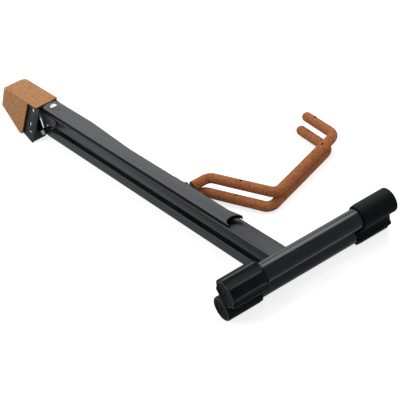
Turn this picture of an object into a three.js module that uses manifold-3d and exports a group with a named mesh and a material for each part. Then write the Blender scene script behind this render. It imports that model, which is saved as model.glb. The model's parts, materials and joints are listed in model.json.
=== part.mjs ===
// A folding cello stand, lying folded on its back.
// X runs along the two foot tubes, Y from the feet to the hood, Z from the floor up.
// The rear leg and its foot lie underneath; the front leg with the hood and arms lies on top.
// All lengths are in millimetres.

import * as THREE from "three";
import { mergeVertices } from "three/addons/utils/BufferGeometryUtils.js";
import Module from "manifold-3d";

const wasm = await Module();
wasm.setup();

// Shared sizes
const clearance = 0.3;
const sheet = 2;
const overrun = 20;
const roundSides = 32;
const smallSides = 16;
const fullTurn = 2 * Math.PI;
const rightAngle = Math.PI / 2;

// Feet: each is a tube with a rubber cap on both ends
const tubeRadius = 16;
const tubeWall = 1.5;
const footLength = 306;
const capLength = 63;
const capEndWall = 3;
const capRadius = 20;
const capEdge = 2.5;
const capHoleRadius = 2.5;
const fluteCount = 8;
const fluteSteps = 6;
const fluteDepth = 2.6;
const fluteCurve = 16;
const frontFluteTurn = Math.PI / fluteCount;
const frontFlutedRadius = 24.5;
const footStagger = 25.4;
const copeShare = 0.5;

// Legs: two channels open towards the floor
const legX = -37.75;
const channelWidth = 30.2;
const rearChannelHeight = 19.3;
const frontChannelHeight = 22.3;
const rearWebTop = 0.5;
const frontLegEnd = 785;
const foldStopGap = 0.4;
const frontWebTop = tubeRadius + foldStopGap + frontChannelHeight;

// Fold hinge between the legs
const hingeY = 757;
const hingeZ = -4;
const rearEndRadius = 16;
const webSetback = 15;
const pinRadius = 4;
const bossRadius = 7;
const bossLength = 5.5;
const pinHeadRadius = 5;
const pinHeadLength = 4.5;
const sleeveRadius = 6.5;
const plateLobe = 7.5;
const plateDrop = 2;
const plateDepth = 24;
// The hinge plate's rim behind and before the pin, as [from the pin, below the plate's top]
const plateBackRim = [[-63, 0], [-53, 13.3], [-45, 18], [-33, 21.2], [-19, 23.7]];
const plateFrontRim = [[8, 17], [12, 10], [18, 0]];

// Swing bar: a shallow tray that turns on a domed rivet
const barTop = 50;
const barSheet = 1.5;
const barDepth = 6;
const barPivotY = 727;
const barEndRadius = 21;
const barNearReach = 16.55;
const barFarReach = 15.35;
const barWaistReach = 8.25;
const barHornReach = 12.75;
const barNearHorn = 621;
const barFarHorn = 617;
const barTaperStart = 127;
const barTaperEnd = 277;
const barFlareStart = 587;
const notchRadius = 13.5;
const notchDepth = 604.4;
const barHoleRadius = 2;
const barHoleBack = 22;
const barRivetRadius = 3;
const barRivetHead = 6.8;
const barRivetDome = 3.6;
const barSpacerRadius = 9;

// Hood: a steel saddle with splayed walls under glued cork
const hoodX = -40.5;
const hoodTop = 51;
const hoodHalfTop = 24;
const hoodSplay = (20 * Math.PI) / 180;
const corkSheet = 3.5;
const hoodBack = 751;
const hoodFront = 893;
const hoodCorner = 13;
const hoodTipDrop = 71;
const hoodTipY = 767;
const strapTopY = 742;
const strapWaistY = 752;
const strapWaistDrop = 34.5;
const panelTopY = 785;
const panelFrontTopY = 891;
const panelFrontY = 898;
const panelFrontDrop = 34;
const panelLowY = 816;
const panelLowDrop = 64;
const panelBackY = 806;
const panelBackDrop = 63;
const corkLip = 2;
const strapHoleRadius = 4;
const strapHoles = [
  { fromTip: 2, drop: 11 },
  { fromTip: 11.5, drop: 38.5 },
];
const strapSlotHalf = 6;
const strapSlotDrop = 53;
const strapSlotRadius = 1.7;
const wingY = 768;
const wingTopDrop = 15;
const wingTipDrop = 70;
const wingGap = 0.85;
const hoodBlockLength = 24;
const hoodBlockWidth = 24;
const hoodBlockY = 768;
const hoodRivetRadius = 2.5;
const hoodRivetHead = 4.5;
const hoodRivetSpacing = 12;

// Arms: bent rods in cork sleeves, on a pair of angle lugs
const rodRadius = 5;
const armCorkRadius = 8.8;
const armSides = 12;
const armArcSteps = 5;
const armPinRadius = 3;
const armPinHead = 5;
const armPinHeadLength = 2;
const eyeRadius = 6.5;
const armY = 314.3;
const armStackPitch = 19;
const armShift = 17.3;
const armPinAx = -6;
const armPinBx = -14;
const armPinAz = 10;
const armStub = 41.7;
const armDropX = 42.7;
const armDropY = 138.6;
const armRunX = 170.9;
const armRunY = 66.9;
const armTipX = 10.6;
const armTipY = 101;
const armTipWall = 3;
const armBends = { first: 14, second: 12, third: 26 };
const corkStartA = 1.5;
const corkStartB = 16.2;
const lugGap = 19;
const lugRadius = 7.5;
const lugFoot = 22;
const lugTopDrop = 1;
const lugRivetRadius = 2;
const lugRivetHead = 3.6;
const lugRivetHeadLength = 1.6;

// Small geometry helpers

// Turns a closed three.js geometry into a solid that can be cut and joined.
function toSolid(geometry) {
  const bare = geometry.clone();
  bare.deleteAttribute("normal");
  bare.deleteAttribute("uv");
  const merged = mergeVertices(bare);
  const vertProperties = new Float32Array(merged.attributes.position.array);
  const triVerts = new Uint32Array(merged.index.array);
  return new wasm.Manifold(new wasm.Mesh({ numProp: 3, vertProperties, triVerts }));
}

// Turns a solid back into a three.js geometry.
function toGeometry(solid) {
  const mesh = solid.getMesh();
  const geometry = new THREE.BufferGeometry();
  geometry.setAttribute("position", new THREE.BufferAttribute(mesh.vertProperties, mesh.numProp));
  geometry.setIndex(new THREE.BufferAttribute(mesh.triVerts, 1));
  geometry.computeVertexNormals();
  return geometry;
}

function shapeOf(points) {
  return new THREE.Shape(points.map(([a, b]) => new THREE.Vector2(a, b)));
}

// Extrudes an outline in X and Y from one height to another.
function prismZ(outline, z0, z1) {
  const shape = Array.isArray(outline) ? shapeOf(outline) : outline;
  const geometry = new THREE.ExtrudeGeometry(shape, {
    depth: z1 - z0,
    bevelEnabled: false,
    curveSegments: smallSides,
  });
  geometry.translate(0, 0, z0);
  return toSolid(geometry);
}

// Extrudes an outline in Y and Z from one X to another.
function prismX(outline, x0, x1) {
  const shape = Array.isArray(outline) ? shapeOf(outline) : outline;
  const geometry = new THREE.ExtrudeGeometry(shape, {
    depth: x1 - x0,
    bevelEnabled: false,
    curveSegments: smallSides,
  });
  geometry.rotateY(rightAngle);
  geometry.rotateX(rightAngle);
  geometry.translate(x0, 0, 0);
  return toSolid(geometry);
}

// Extrudes an outline in X and Z from one Y to another.
function prismY(outline, y0, y1) {
  const shape = Array.isArray(outline) ? shapeOf(outline) : outline;
  const geometry = new THREE.ExtrudeGeometry(shape, { depth: y1 - y0, bevelEnabled: false });
  geometry.rotateX(rightAngle);
  geometry.translate(0, y1, 0);
  return toSolid(geometry);
}

// A cylinder along one axis, given by two coordinates across it and two along it.
function rod(axis, across, radius, from, to, sides = smallSides) {
  const geometry = new THREE.CylinderGeometry(radius, radius, to - from, sides);
  const middle = (from + to) / 2;
  if (axis === "x") {
    geometry.rotateZ(rightAngle);
    geometry.translate(middle, across[0], across[1]);
  } else if (axis === "y") {
    geometry.translate(across[0], middle, across[1]);
  } else {
    geometry.rotateX(rightAngle);
    geometry.translate(across[0], across[1], middle);
  }
  return toSolid(geometry);
}

function block(x0, x1, y0, y1, z0, z1) {
  const geometry = new THREE.BoxGeometry(x1 - x0, y1 - y0, z1 - z0);
  geometry.translate((x0 + x1) / 2, (y0 + y1) / 2, (z0 + z1) / 2);
  return toSolid(geometry);
}

const stand = new THREE.Group();
const finishes = {
  paint: { color: 0x24262a, roughness: 0.38, metalness: 0.4 },
  rubber: { color: 0x17181a, roughness: 0.75, metalness: 0 },
  zinc: { color: 0xd9dbdd, roughness: 0.25, metalness: 0.9 },
  steel: { color: 0x8d9094, roughness: 0.4, metalness: 0.9 },
  cork: { color: 0xc08a5a, roughness: 0.9, metalness: 0 },
};

function add(name, finish, solid) {
  const material = new THREE.MeshStandardMaterial(finishes[finish]);
  const mesh = new THREE.Mesh(toGeometry(solid), material);
  mesh.name = name;
  stand.add(mesh);
}

// Feet

const halfFoot = footLength / 2;
const tubeHalf = halfFoot - capEndWall - clearance;
const rearFoot = { y: 0, z: 0 };
const frontFoot = { y: -footStagger, z: frontWebTop };

// The ridge radius at which a fluted cap's two lowest ridges stand as high as the round cap.
function levelFlutedRadius() {
  const shift = fluteCurve - fluteDepth;
  const half = capRadius - shift;
  const rest = (shift ** 2 - fluteCurve ** 2) / 2 - capRadius * shift;
  return (half + Math.sqrt(half ** 2 - 4 * rest)) / 2;
}

const rearFlutedRadius = levelFlutedRadius();

function footTube(foot) {
  const across = [foot.y, foot.z];
  const outer = rod("x", across, tubeRadius, -tubeHalf, tubeHalf, roundSides);
  const bore = rod("x", across, tubeRadius - tubeWall, -footLength, footLength, roundSides);
  return outer.subtract(bore);
}

// A revolved cap, turned so that one facet faces the floor.
function roundCap(foot, side) {
  const spread = 1 / Math.cos(Math.PI / roundSides);
  const radius = capRadius * spread;
  const bore = tubeRadius + clearance;
  const profile = [
    [capHoleRadius, 0],
    [radius - capEdge, 0],
    [radius - capEdge * (1 - Math.SQRT1_2), capEdge * (1 - Math.SQRT1_2)],
    [radius, capEdge],
    [radius, capLength - capEdge / 2],
    [radius - capEdge / 2, capLength],
    [bore, capLength],
    [bore, capEndWall],
    [capHoleRadius, capEndWall],
    [capHoleRadius, 0],
  ].map(([r, h]) => new THREE.Vector2(r, h));
  const phase = Math.PI / roundSides;
  const geometry = new THREE.LatheGeometry(profile, roundSides, phase, fullTurn);
  geometry.rotateZ(-side * -rightAngle);
  geometry.translate(side * halfFoot, foot.y, foot.z);
  return toSolid(geometry);
}

// The outline of a cap with concave flutes. Unturned, two ridges face the floor.
function flutedOutline(radius, turn) {
  const centre = radius - fluteDepth + fluteCurve;
  const pitch = fullTurn / fluteCount;
  const reach = (radius ** 2 + centre ** 2 - fluteCurve ** 2) / (2 * radius * centre);
  const halfFlute = Math.acos(reach);
  const points = [];
  for (let flute = 0; flute < fluteCount; flute += 1) {
    const middle = flute * pitch + turn;
    for (let step = 0; step <= fluteSteps; step += 1) {
      const off = halfFlute * ((2 * step) / fluteSteps - 1);
      const inner = fluteCurve ** 2 - (centre * Math.sin(off)) ** 2;
      const r = centre * Math.cos(off) - Math.sqrt(Math.max(inner, 0));
      points.push([r * Math.cos(middle + off), r * Math.sin(middle + off)]);
    }
  }
  return points;
}

function flutedCap(foot, side, radius, turn) {
  const outer = flutedOutline(radius, turn).map(([y, z]) => [y + foot.y, z + foot.z]);
  const rim = side * (halfFoot - capLength);
  const end = side * halfFoot;
  const seat = side * (halfFoot - capEndWall);
  const across = [foot.y, foot.z];
  const body = prismX(outer, Math.min(rim, end), Math.max(rim, end));
  const boreStart = Math.min(seat, rim - side * overrun);
  const boreEnd = Math.max(seat, rim - side * overrun);
  const bore = rod("x", across, tubeRadius + clearance, boreStart, boreEnd, roundSides);
  const hole = rod("x", across, capHoleRadius, -footLength, footLength);
  return body.subtract(bore).subtract(hole);
}

add("rear_foot_tube", "paint", footTube(rearFoot));
add("front_foot_tube", "paint", footTube(frontFoot));
add("rear_foot_round_cap", "rubber", roundCap(rearFoot, -1));
add("rear_foot_fluted_cap", "rubber", flutedCap(rearFoot, 1, rearFlutedRadius, 0));
add("front_foot_round_cap", "rubber", roundCap(frontFoot, 1));
add("front_foot_fluted_cap", "rubber", flutedCap(frontFoot, -1, frontFlutedRadius, frontFluteTurn));

// Legs

const nearFlange = legX - channelWidth / 2;
const farFlange = legX + channelWidth / 2;
const rearFlangeEnd = rearWebTop - rearChannelHeight;
const frontFlangeEnd = frontWebTop - frontChannelHeight;
const hingeAcross = [hingeY, hingeZ];

// A channel: an outline seen from the side, hollowed from below.
function channel(outline, webTop, hollowStart, hollowEnd) {
  const body = prismX(outline, nearFlange, farFlange);
  const hollow = block(
    nearFlange + sheet,
    farFlange - sheet,
    hollowStart,
    hollowEnd,
    webTop - footLength,
    webTop - sheet,
  );
  return body.subtract(hollow);
}

function rearLeg() {
  const start = tubeRadius * copeShare;
  const topAngle = Math.asin((rearWebTop - hingeZ) / rearEndRadius);
  const lowAngle = Math.asin((rearFlangeEnd - hingeZ) / rearEndRadius);
  const outline = new THREE.Shape();
  outline.moveTo(start, rearFlangeEnd);
  outline.absarc(hingeY, hingeZ, rearEndRadius, lowAngle, topAngle, false);
  outline.lineTo(start, rearWebTop);
  const webEnd = hingeY - webSetback;
  const cope = rod("x", [rearFoot.y, rearFoot.z], tubeRadius + clearance, -halfFoot, halfFoot, roundSides);
  const slot = block(
    nearFlange + sheet,
    farFlange - sheet,
    webEnd,
    hingeY + overrun,
    rearFlangeEnd - overrun,
    rearWebTop + overrun,
  );
  const pinHole = rod("x", hingeAcross, pinRadius + clearance, -footLength, footLength);
  return channel(outline, rearWebTop, -overrun, webEnd + overrun)
    .subtract(slot)
    .subtract(cope)
    .subtract(pinHole);
}

const hoodRivetYs = [-1, 1].map((side) => hoodBlockY + (side * hoodRivetSpacing) / 2);

function frontLeg() {
  const start = frontFoot.y + tubeRadius * copeShare;
  const outline = [
    [start, frontFlangeEnd],
    [frontLegEnd, frontFlangeEnd],
    [frontLegEnd, frontWebTop],
    [start, frontWebTop],
  ];
  const cope = rod("x", [frontFoot.y, frontFoot.z], tubeRadius + clearance, -halfFoot, halfFoot, roundSides);
  let leg = channel(outline, frontWebTop, frontFoot.y - overrun, frontLegEnd + overrun);
  leg = leg.subtract(cope);
  const low = frontWebTop - overrun / 2;
  const high = frontWebTop + overrun;
  leg = leg.subtract(rod("z", [legX, barPivotY], barRivetRadius + clearance, low, high));
  for (const y of hoodRivetYs) {
    leg = leg.subtract(rod("z", [legX, y], hoodRivetRadius + clearance, low, high));
  }
  for (const y of lugRivetYs) {
    const across = [y, lugRivetZ];
    leg = leg.subtract(rod("x", across, lugRivetRadius + clearance, legX, farFlange + overrun));
  }
  return leg;
}

// Hinge: two plates on the front leg carry the pin, the rear leg turns between them

function hingePlate() {
  const top = frontWebTop - plateDrop;
  const place = ([along, drop]) => new THREE.Vector2(hingeY + along, top - drop);
  const outline = new THREE.Shape(plateBackRim.map(place));
  outline.lineTo(hingeY - plateLobe, top - plateDepth);
  outline.absarc(hingeY, hingeZ, plateLobe, Math.PI, fullTurn, false);
  plateFrontRim.map(place).forEach(({ x, y }) => outline.lineTo(x, y));
  return outline;
}

const plateNear = nearFlange - clearance;
const plateFar = farFlange + clearance;
const pinClear = pinRadius + clearance;

function hingePlateAt(x0) {
  const hole = rod("x", hingeAcross, pinClear, x0 - overrun, x0 + overrun);
  return prismX(hingePlate(), x0, x0 + sheet).subtract(hole);
}

function bush(x0, length, radius) {
  const outer = rod("x", hingeAcross, radius, x0, x0 + length, roundSides);
  return outer.subtract(rod("x", hingeAcross, pinClear, x0 - overrun, x0 + length + overrun));
}

const nearBossEnd = plateNear - sheet - clearance;
const nearBossStart = nearBossEnd - bossLength;
const farBossStart = plateFar + sheet + clearance;
const farBossEnd = farBossStart + bossLength;
const sleeveStart = nearFlange + sheet + clearance;
const sleeveLength = channelWidth - 2 * (sheet + clearance);

function hingePin() {
  const headEnd = nearBossStart - clearance;
  const shankEnd = farBossEnd + clearance;
  const shank = rod("x", hingeAcross, pinRadius, headEnd - pinHeadLength / 2, shankEnd + pinHeadLength / 2);
  const head = rod("x", hingeAcross, pinHeadRadius, headEnd - pinHeadLength, headEnd);
  const tail = rod("x", hingeAcross, pinHeadRadius, shankEnd, shankEnd + pinHeadLength);
  return shank.add(head).add(tail);
}

// Swing bar

const notchX = legX + (barHornReach - barNearReach) / 2;
const notchY = barPivotY - notchDepth - notchRadius;

// The bar's outline without its notch, drawn in by an inset on every side.
function barOutline(inset) {
  const near = legX - barNearReach + inset;
  const far = legX + barFarReach - inset;
  const waist = legX + barWaistReach - inset;
  const horn = legX + barHornReach - inset;
  const arc = barEndRadius - inset;
  const nearAngle = Math.PI - Math.acos((barNearReach - inset) / arc);
  const farAngle = Math.acos((barFarReach - inset) / arc);
  const outline = new THREE.Shape();
  outline.moveTo(near, barPivotY - barNearHorn + inset);
  outline.lineTo(horn, barPivotY - barFarHorn + inset);
  outline.lineTo(waist, barPivotY - barFlareStart + inset);
  outline.lineTo(waist, barPivotY - barTaperEnd);
  outline.lineTo(far, barPivotY - barTaperStart);
  outline.absarc(legX, barPivotY, arc, farAngle, nearAngle, false);
  return outline;
}

// The bar between two heights, with its notch.
function barBody(inset, low, high) {
  const notch = rod("z", [notchX, notchY], notchRadius + inset, low - overrun, high + overrun, roundSides);
  return prismZ(barOutline(inset), low, high).subtract(notch);
}

function swingBar() {
  const body = barBody(0, barTop - barDepth, barTop);
  const tray = barBody(barSheet, barTop - barDepth - overrun, barTop - barSheet);
  const pivot = rod("z", [legX, barPivotY], barRivetRadius + clearance, 0, barTop + overrun);
  const hole = rod("z", [legX, barPivotY - barHoleBack], barHoleRadius, frontWebTop, barTop + overrun);
  return body.subtract(tray).subtract(pivot).subtract(hole);
}

const barSeat = barTop - barSheet;

function barSpacer() {
  const across = [legX, barPivotY];
  const low = frontWebTop + clearance;
  const high = barSeat - clearance;
  const outer = rod("z", across, barSpacerRadius, low, high, roundSides);
  return outer.subtract(rod("z", across, barRivetRadius + clearance, 0, barTop));
}

// A revolved rivet: domed head on the bar, closed head under the channel's web.
function barRivet() {
  const headLow = barTop + clearance;
  const tailHigh = frontWebTop - sheet - clearance;
  const tailLow = tailHigh - barRivetDome / 2;
  const profile = [
    [0, tailLow],
    [barRivetHead * Math.SQRT1_2, tailLow],
    [barRivetHead * Math.SQRT1_2, tailHigh],
    [barRivetRadius, tailHigh],
    [barRivetRadius, headLow],
    [barRivetHead, headLow],
  ];
  const domeSteps = smallSides / 4;
  for (let step = 1; step <= domeSteps; step += 1) {
    const angle = (rightAngle * step) / domeSteps;
    profile.push([barRivetHead * Math.cos(angle), headLow + barRivetDome * Math.sin(angle)]);
  }
  profile[profile.length - 1][0] = 0;
  const points = profile.map(([r, h]) => new THREE.Vector2(r, h));
  const geometry = new THREE.LatheGeometry(points, roundSides);
  geometry.rotateX(rightAngle);
  geometry.translate(legX, barPivotY, 0);
  return toSolid(geometry);
}

// Hood

const slope = Math.tan(hoodSplay);
const slopeScale = 1 / Math.cos(hoodSplay);
const hoodFloor = hoodTop - hoodTipDrop;
const steelDepth = corkSheet + clearance;

// Half the hood's width at a height, for a wall surface that lies so deep under the cork's face.
function hoodHalf(z, depth) {
  return hoodHalfTop + slope * (hoodTop - z) - depth * slopeScale;
}

function wallPoint(side, z, depth) {
  return [hoodX + side * hoodHalf(z, depth), z];
}

function steelSection() {
  const outerTop = hoodTop - steelDepth;
  const innerTop = outerTop - sheet;
  const inner = steelDepth + sheet;
  const low = hoodFloor - overrun;
  return [
    wallPoint(-1, low, steelDepth),
    wallPoint(-1, low, inner),
    wallPoint(-1, innerTop, inner),
    wallPoint(1, innerTop, inner),
    wallPoint(1, low, inner),
    wallPoint(1, low, steelDepth),
    wallPoint(1, outerTop, steelDepth),
    wallPoint(-1, outerTop, steelDepth),
  ];
}

function steelSide() {
  const above = hoodTop + overrun;
  return [
    [strapTopY, above],
    [strapTopY, hoodTop],
    [strapWaistY, hoodTop - strapWaistDrop],
    [hoodTipY, hoodFloor],
    [panelBackY, hoodTop - panelBackDrop],
    [panelLowY - corkLip, hoodTop - panelLowDrop + corkLip],
    [panelFrontY - corkLip, hoodTop - panelFrontDrop + corkLip / 2],
    [panelFrontTopY - corkLip, hoodTop],
    [panelFrontTopY - corkLip, above],
  ];
}

// What rounds the far front corner of the hood's top, seen from above.
function cornerCutter(inset) {
  const x = hoodX + hoodHalfTop - hoodCorner;
  const y = hoodFront - hoodCorner;
  const low = hoodTop - steelDepth - sheet - clearance;
  const high = hoodTop + overrun;
  const square = block(x, x + hoodCorner + overrun, y, y + hoodCorner + overrun, low, high);
  return square.subtract(rod("z", [x, y], hoodCorner - inset, low - overrun, high + overrun, roundSides));
}

function wing(side) {
  const plateFace = side < 0 ? plateNear - sheet : plateFar + sheet;
  const tip = plateFace + side * wingGap;
  const inner = steelDepth + sheet / 2;
  const top = hoodTop - wingTopDrop;
  const low = hoodTop - wingTipDrop;
  const outline = [
    [tip, top],
    wallPoint(side, top, inner),
    wallPoint(side, low, inner),
    [tip, low],
  ];
  return prismY(side < 0 ? outline : outline.reverse(), wingY, wingY + sheet);
}

function hoodBracket() {
  const section = prismY(steelSection(), strapTopY - overrun, hoodFront + overrun);
  const reach = hoodHalf(hoodFloor, 0) + overrun;
  let steel = section.intersect(prismX(steelSide(), hoodX - reach, hoodX + reach));
  const webHalf = hoodHalf(hoodTop - steelDepth - sheet, steelDepth + sheet);
  const webLow = hoodTop - steelDepth - 2 * sheet;
  const backOpening = block(hoodX - webHalf, hoodX + webHalf, 0, hoodBack, webLow, hoodTop);
  const sweep = rod("z", [legX, barPivotY], barEndRadius + corkLip, webLow, hoodTop, roundSides);
  steel = steel.subtract(backOpening).subtract(sweep).subtract(cornerCutter(corkLip));
  for (const { fromTip, drop } of strapHoles) {
    const across = [hoodTipY + fromTip, hoodTop - drop];
    steel = steel.subtract(rod("x", across, strapHoleRadius, hoodX - reach, hoodX + reach));
  }
  const slotY = hoodTipY + strapHoles[1].fromTip;
  const slotZ = hoodTop - strapSlotDrop;
  const slot = block(
    hoodX - reach,
    hoodX + reach,
    slotY - strapSlotHalf,
    slotY + strapSlotHalf,
    slotZ - strapSlotRadius,
    slotZ + strapSlotRadius,
  );
  steel = steel.subtract(slot).add(wing(-1)).add(wing(1));
  for (const y of hoodRivetYs) {
    steel = steel.subtract(rod("z", [legX, y], hoodRivetRadius + clearance, webLow, hoodTop));
  }
  return steel;
}

function hoodCorkTop() {
  const low = hoodTop - corkSheet;
  const section = [
    wallPoint(-1, low, corkSheet),
    wallPoint(1, low, corkSheet),
    wallPoint(1, hoodTop, 0),
    wallPoint(-1, hoodTop, 0),
  ];
  return prismY(section, hoodBack, hoodFront).subtract(cornerCutter(0));
}

function hoodCorkSide(side) {
  const low = hoodFloor - overrun;
  const section = [
    wallPoint(side, hoodTop - clearance, 0),
    wallPoint(side, hoodTop - corkSheet - clearance, corkSheet),
    wallPoint(side, low, corkSheet),
    wallPoint(side, low, 0),
  ];
  const above = hoodTop + overrun;
  const cornerDrop = side > 0 ? hoodCorner : 0;
  const outline = [
    [panelTopY, above],
    [panelTopY, hoodTop],
    [panelBackY, hoodTop - panelBackDrop],
    [panelLowY, hoodTop - panelLowDrop],
    [panelFrontY, hoodTop - panelFrontDrop],
    [panelFrontTopY, hoodTop - cornerDrop],
    [panelFrontTopY - cornerDrop, hoodTop],
    [panelFrontTopY - cornerDrop, above],
  ];
  const reach = hoodHalf(hoodFloor, 0) + overrun;
  const solid = prismY(side > 0 ? section.reverse() : section, hoodBack, panelFrontY + overrun);
  return solid.intersect(prismX(outline, hoodX - reach, hoodX + reach));
}

function hoodBlock() {
  const low = frontWebTop + clearance;
  const high = hoodTop - steelDepth - sheet - clearance;
  const half = hoodBlockWidth / 2;
  const halfY = hoodBlockLength / 2;
  let solid = block(legX - half, legX + half, hoodBlockY - halfY, hoodBlockY + halfY, low, high);
  for (const y of hoodRivetYs) {
    solid = solid.subtract(rod("z", [legX, y], hoodRivetRadius + clearance, 0, hoodTop));
  }
  return solid;
}

function hoodRivet(y) {
  const high = hoodTop - steelDepth;
  const headTop = frontWebTop - sheet - clearance;
  const headLow = headTop - hoodRivetRadius;
  const shank = rod("z", [legX, y], hoodRivetRadius, headTop - hoodRivetRadius / 2, high);
  return shank.add(rod("z", [legX, y], hoodRivetHead, headLow, headTop));
}

// Arms

// A path through chosen stations, so that bends get many steps and straight runs few.
class StationPath extends THREE.Curve {
  constructor(stations) {
    super();
    this.stations = stations;
  }

  getPoint(t) {
    const last = this.stations.length - 1;
    const place = Math.min(t, 1) * last;
    const index = Math.min(Math.floor(place + 1 / (fluteCount * last * last)), last - 1);
    return this.stations[index].clone().lerp(this.stations[index + 1], place - index);
  }

  getPointAt(t) {
    return this.getPoint(t);
  }

  getTangentAt(t) {
    const last = this.stations.length - 1;
    const index = Math.round(t * last);
    const before = this.stations[Math.max(index - 1, 0)];
    const after = this.stations[Math.min(index + 1, last)];
    const here = this.stations[index];
    const inward = here.clone().sub(before).normalize();
    const outward = after.clone().sub(here).normalize();
    return inward.add(outward).normalize();
  }
}

// Stations along straight runs joined by round bends, all at one height.
function bentStations(corners, radii, z) {
  const points = corners.map(([x, y]) => new THREE.Vector2(x, y));
  const stations = [points[0]];
  for (let i = 1; i < points.length - 1; i += 1) {
    const inward = points[i].clone().sub(points[i - 1]).normalize();
    const outward = points[i + 1].clone().sub(points[i]).normalize();
    const turn = Math.atan2(inward.cross(outward), inward.dot(outward));
    const trim = radii[i - 1] * Math.tan(Math.abs(turn) / 2);
    const start = points[i].clone().addScaledVector(inward, -trim);
    const across = new THREE.Vector2(-inward.y, inward.x).multiplyScalar(Math.sign(turn));
    const centre = start.clone().addScaledVector(across, radii[i - 1]);
    for (let step = 0; step <= armArcSteps; step += 1) {
      const spoke = start.clone().sub(centre);
      stations.push(spoke.rotateAround(new THREE.Vector2(), (turn * step) / armArcSteps).add(centre));
    }
  }
  stations.push(points[points.length - 1]);
  return stations.map((p) => new THREE.Vector3(p.x, p.y, z));
}

function sweep(stations, radius) {
  const circle = new THREE.Shape();
  circle.absarc(0, 0, radius, 0, fullTurn, false);
  const section = new THREE.Shape(circle.getSpacedPoints(armSides).slice(0, armSides));
  const path = new StationPath(stations);
  const geometry = new THREE.ExtrudeGeometry(section, {
    steps: stations.length - 1,
    extrudePath: path,
    bevelEnabled: false,
  });
  return toSolid(geometry);
}

function ball(centre, radius) {
  const geometry = new THREE.SphereGeometry(radius, armSides, armSides / 2);
  geometry.translate(centre.x, centre.y, centre.z);
  return toSolid(geometry);
}

// The corners of one arm's centre line, from where it starts to its tip.
function armCorners(start, stubEnd) {
  const drop = [stubEnd + armDropX, armY - armDropY];
  const run = [drop[0] + armRunX, drop[1] + armRunY];
  const tip = [run[0] + armTipX, run[1] + armTipY];
  return [[start, armY], [stubEnd, armY], drop, run, tip];
}

const bendRadii = [armBends.first, armBends.second, armBends.third];
const armStubEnd = armPinAx + armStub;
const arms = [
  { name: "a", pinX: armPinAx, pinZ: armPinAz, stubEnd: armStubEnd, corkStart: corkStartA },
  {
    name: "b",
    pinX: armPinBx,
    pinZ: armPinAz - armStackPitch,
    stubEnd: armStubEnd - armShift,
    corkStart: corkStartB - armShift / 2,
  },
];

function shorten(corners, length) {
  const last = corners.length - 1;
  const [x0, y0] = corners[last - 1];
  const [x1, y1] = corners[last];
  const run = Math.hypot(x1 - x0, y1 - y0);
  const share = (run - length) / run;
  return [...corners.slice(0, last), [x0 + (x1 - x0) * share, y0 + (y1 - y0) * share]];
}

const eyeHalf = lugGap / 2 - clearance;

function armRod(arm) {
  const full = armCorners(arm.pinX, arm.stubEnd);
  const stations = bentStations(shorten(full, armCorkRadius + armTipWall), bendRadii, arm.pinZ);
  const across = [arm.pinX, arm.pinZ];
  const eye = rod("y", across, eyeRadius, armY - eyeHalf, armY + eyeHalf, roundSides);
  const hole = rod("y", across, armPinRadius + clearance, armY - lugGap, armY + lugGap);
  return sweep(stations, rodRadius).add(eye).subtract(hole);
}

function armCork(arm) {
  const full = armCorners(arm.corkStart, arm.stubEnd);
  const outer = bentStations(shorten(full, armCorkRadius), bendRadii, arm.pinZ);
  const fit = shorten(armCorners(arm.corkStart - armCorkRadius, arm.stubEnd), armCorkRadius + armTipWall - clearance);
  const inner = bentStations(fit, bendRadii, arm.pinZ);
  const tip = ball(outer[outer.length - 1], armCorkRadius);
  const gap = clearance / Math.cos(Math.PI / armSides);
  return sweep(outer, armCorkRadius).add(tip).subtract(sweep(inner, rodRadius + gap));
}

const lugFoot0 = armY - lugGap / 2 - sheet;
const lugFoot1 = armY + lugGap / 2 + sheet;
const lugRivetYs = [lugFoot0 - lugFoot / 2, lugFoot1 + lugFoot / 2];
const lugRivetZ = frontWebTop - frontChannelHeight / 2;
const lugBase = farFlange + clearance;

// One angle lug: a foot on the channel's flange and a cheek that holds both arm pins.
function armLug(side) {
  const top = frontWebTop - lugTopDrop;
  const cheekStart = side < 0 ? lugFoot0 : lugFoot1 - sheet;
  const cheekEnd = cheekStart + sheet;
  const [armA, armB] = arms;
  const plate = [
    [lugBase, top],
    [lugBase, frontFlangeEnd],
    [armB.pinX - lugRadius, armB.pinZ],
    [armB.pinX, armB.pinZ - lugRadius * Math.SQRT1_2],
    [armB.pinX + lugRadius, armB.pinZ],
    [armA.pinX + lugRadius, armA.pinZ],
    [armA.pinX, armA.pinZ + lugRadius],
    [lugBase + sheet * 2, top],
  ];
  let cheek = prismY(plate, cheekStart, cheekEnd);
  for (const arm of arms) {
    cheek = cheek.add(rod("y", [arm.pinX, arm.pinZ], lugRadius, cheekStart, cheekEnd, roundSides));
  }
  const footStart = side < 0 ? lugFoot0 - lugFoot : lugFoot1 - sheet;
  const footEnd = footStart + lugFoot + sheet;
  let lug = cheek.add(block(lugBase, lugBase + sheet, footStart, footEnd, frontFlangeEnd, top));
  for (const arm of arms) {
    lug = lug.subtract(rod("y", [arm.pinX, arm.pinZ], armPinRadius + clearance, armY - footLength, armY + footLength));
  }
  const rivetY = side < 0 ? lugRivetYs[0] : lugRivetYs[1];
  return lug.subtract(rod("x", [rivetY, lugRivetZ], lugRivetRadius + clearance, legX, overrun));
}

function armPin(arm) {
  const across = [arm.pinX, arm.pinZ];
  const low = lugFoot0 - clearance;
  const high = lugFoot1 + clearance;
  const half = armPinHeadLength / 2;
  const shank = rod("y", across, armPinRadius, low - half, high + half);
  const head = rod("y", across, armPinHead, low - armPinHeadLength, low);
  const tail = rod("y", across, armPinHead, high, high + armPinHeadLength);
  return shank.add(head).add(tail);
}

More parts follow.
